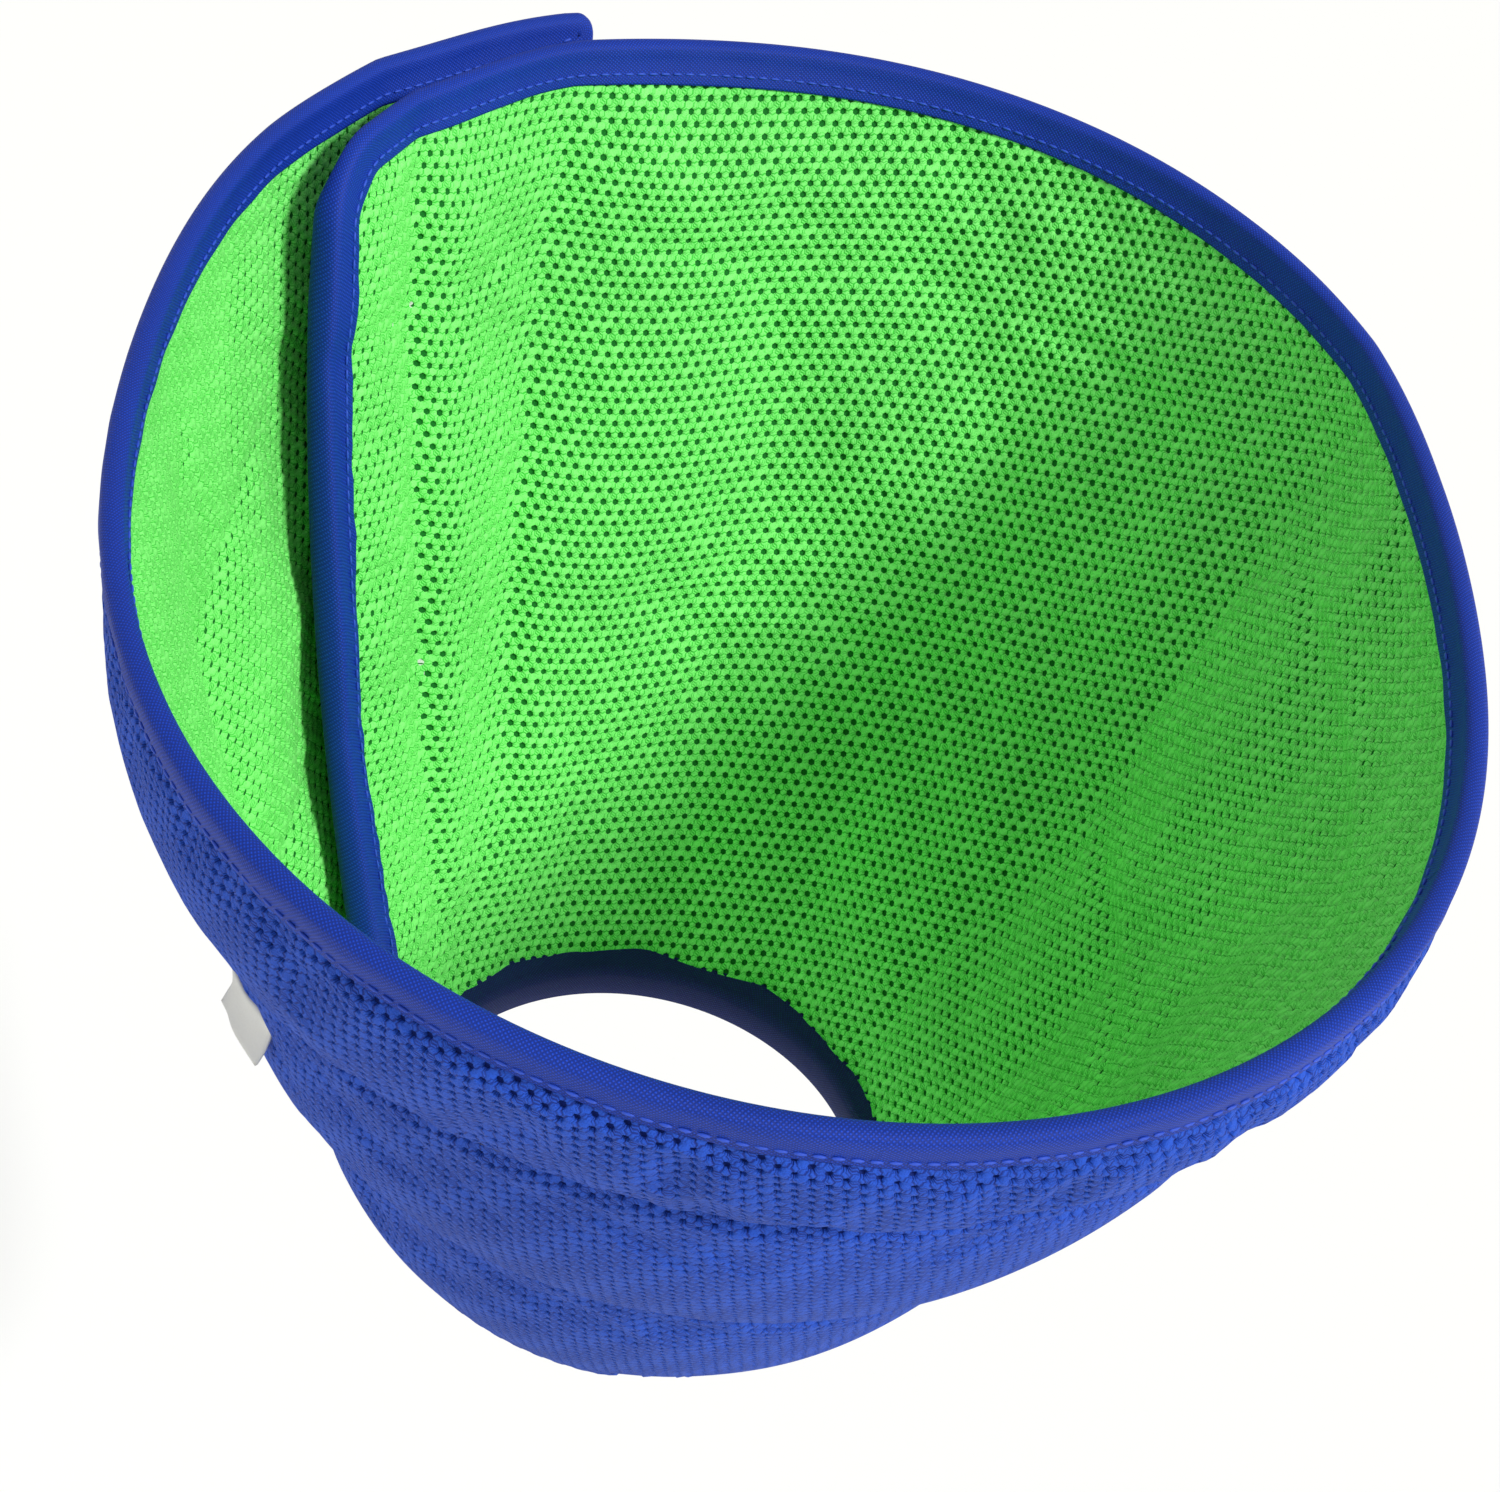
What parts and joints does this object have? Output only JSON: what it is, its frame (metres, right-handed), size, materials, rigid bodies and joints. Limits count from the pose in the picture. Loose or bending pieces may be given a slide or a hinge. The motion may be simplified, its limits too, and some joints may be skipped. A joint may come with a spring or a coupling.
{
  "type": "elizabethan collar",
  "caption": "Soft padded recovery collar: a wide cone of laminated mesh with bound edges that laps over itself, fastens with hook and loop tape and unrolls flat.",
  "frame": {"origin": "centre of the neck opening, level with the wall's lower edge", "axes": "+Z along the cone's axis from the neck to the rim; the lapped closure is on the -X +Y side"},
  "size_m": [0.3509, 0.4466, 0.2716],
  "materials": {
    "blue_mesh": "open knit spacer mesh",
    "foam": "closed-cell foam board",
    "green_mesh": "perforated air mesh",
    "binding": "woven bias binding",
    "neck_cloth": "woven cloth over padding",
    "hook_tape": "hook tape",
    "loop_tape": "loop tape",
    "label": "woven satin label"
  },
  "bodies": {
    "panel_1": {"outer_mesh_1": "blue_mesh", "foam_board_1": "foam", "lining_1": "green_mesh", "rim_binding_1": "binding", "neck_band_1": "neck_cloth", "outer_end_binding": "binding", "hook_tabs": "hook_tape"},
    "panel_2": {"outer_mesh_2": "blue_mesh", "foam_board_2": "foam", "lining_2": "green_mesh", "rim_binding_2": "binding", "neck_band_2": "neck_cloth"},
    "panel_3": {"outer_mesh_3": "blue_mesh", "foam_board_3": "foam", "lining_3": "green_mesh", "rim_binding_3": "binding", "neck_band_3": "neck_cloth", "care_label": "label"},
    "panel_4": {"outer_mesh_4": "blue_mesh", "foam_board_4": "foam", "lining_4": "green_mesh", "rim_binding_4": "binding", "neck_band_4": "neck_cloth"},
    "panel_5": {"outer_mesh_5": "blue_mesh", "foam_board_5": "foam", "lining_5": "green_mesh", "rim_binding_5": "binding", "neck_band_5": "neck_cloth"},
    "panel_6": {"outer_mesh_6": "blue_mesh", "foam_board_6": "foam", "lining_6": "green_mesh", "rim_binding_6": "binding", "neck_band_6": "neck_cloth"},
    "panel_7": {"outer_mesh_7": "blue_mesh", "foam_board_7": "foam", "lining_7": "green_mesh", "rim_binding_7": "binding", "neck_band_7": "neck_cloth"},
    "panel_8": {"outer_mesh_8": "blue_mesh", "foam_board_8": "foam", "lining_8": "green_mesh", "rim_binding_8": "binding", "neck_band_8": "neck_cloth"},
    "panel_9": {"outer_mesh_9": "blue_mesh", "foam_board_9": "foam", "lining_9": "green_mesh", "rim_binding_9": "binding", "neck_band_9": "neck_cloth", "flap_end_binding": "binding", "loop_tabs": "loop_tape"}
  },
  "joints": [
    {"name": "fold_1", "type": "hinge", "parent": "panel_2", "child": "panel_1", "pos_m": [-0.09244, 0.02564, 0], "axis": [-0.296, 0.0821, 0.9516], "range_deg": [0, 39]},
    {"name": "fold_2", "type": "hinge", "parent": "panel_3", "child": "panel_2", "pos_m": [-0.06972, -0.04272, 0], "axis": [-0.3033, -0.1858, 0.9346], "range_deg": [0, 32.4]},
    {"name": "fold_3", "type": "hinge", "parent": "panel_4", "child": "panel_3", "pos_m": [-0.0163, -0.08012, 0], "axis": [-0.0936, -0.4599, 0.8831], "range_deg": [0, 51.7]},
    {"name": "fold_4", "type": "hinge", "parent": "panel_5", "child": "panel_4", "pos_m": [0.04748, -0.06657, 0], "axis": [0.2618, -0.367, 0.8926], "range_deg": [0, 49.6]},
    {"name": "fold_5", "type": "hinge", "parent": "panel_5", "child": "panel_6", "pos_m": [0.08124, -0.00926, 0], "axis": [-0.3334, 0.038, -0.942], "range_deg": [0, 29.2]},
    {"name": "fold_6", "type": "hinge", "parent": "panel_6", "child": "panel_7", "pos_m": [0.06217, 0.0531, 0], "axis": [-0.2873, -0.2454, -0.9259], "range_deg": [0, 32.9]},
    {"name": "fold_7", "type": "hinge", "parent": "panel_7", "child": "panel_8", "pos_m": [0.0142, 0.08052, 0], "axis": [-0.0787, -0.4464, -0.8914], "range_deg": [0, 40.8]},
    {"name": "fold_8", "type": "hinge", "parent": "panel_8", "child": "panel_9", "pos_m": [-0.04026, 0.07116, 0], "axis": [0.207, -0.3659, -0.9073], "range_deg": [0, 42.4]}
  ],
  "couplings": [
    {"joint": "fold_1", "follows": "fold_4", "ratio": 0.78339},
    {"joint": "fold_2", "follows": "fold_4", "ratio": 0.65109},
    {"joint": "fold_3", "follows": "fold_4", "ratio": 1.0391},
    {"joint": "fold_5", "follows": "fold_4", "ratio": 0.58659},
    {"joint": "fold_6", "follows": "fold_4", "ratio": 0.65994},
    {"joint": "fold_7", "follows": "fold_4", "ratio": 0.81949},
    {"joint": "fold_8", "follows": "fold_4", "ratio": 0.85128}
  ]
}
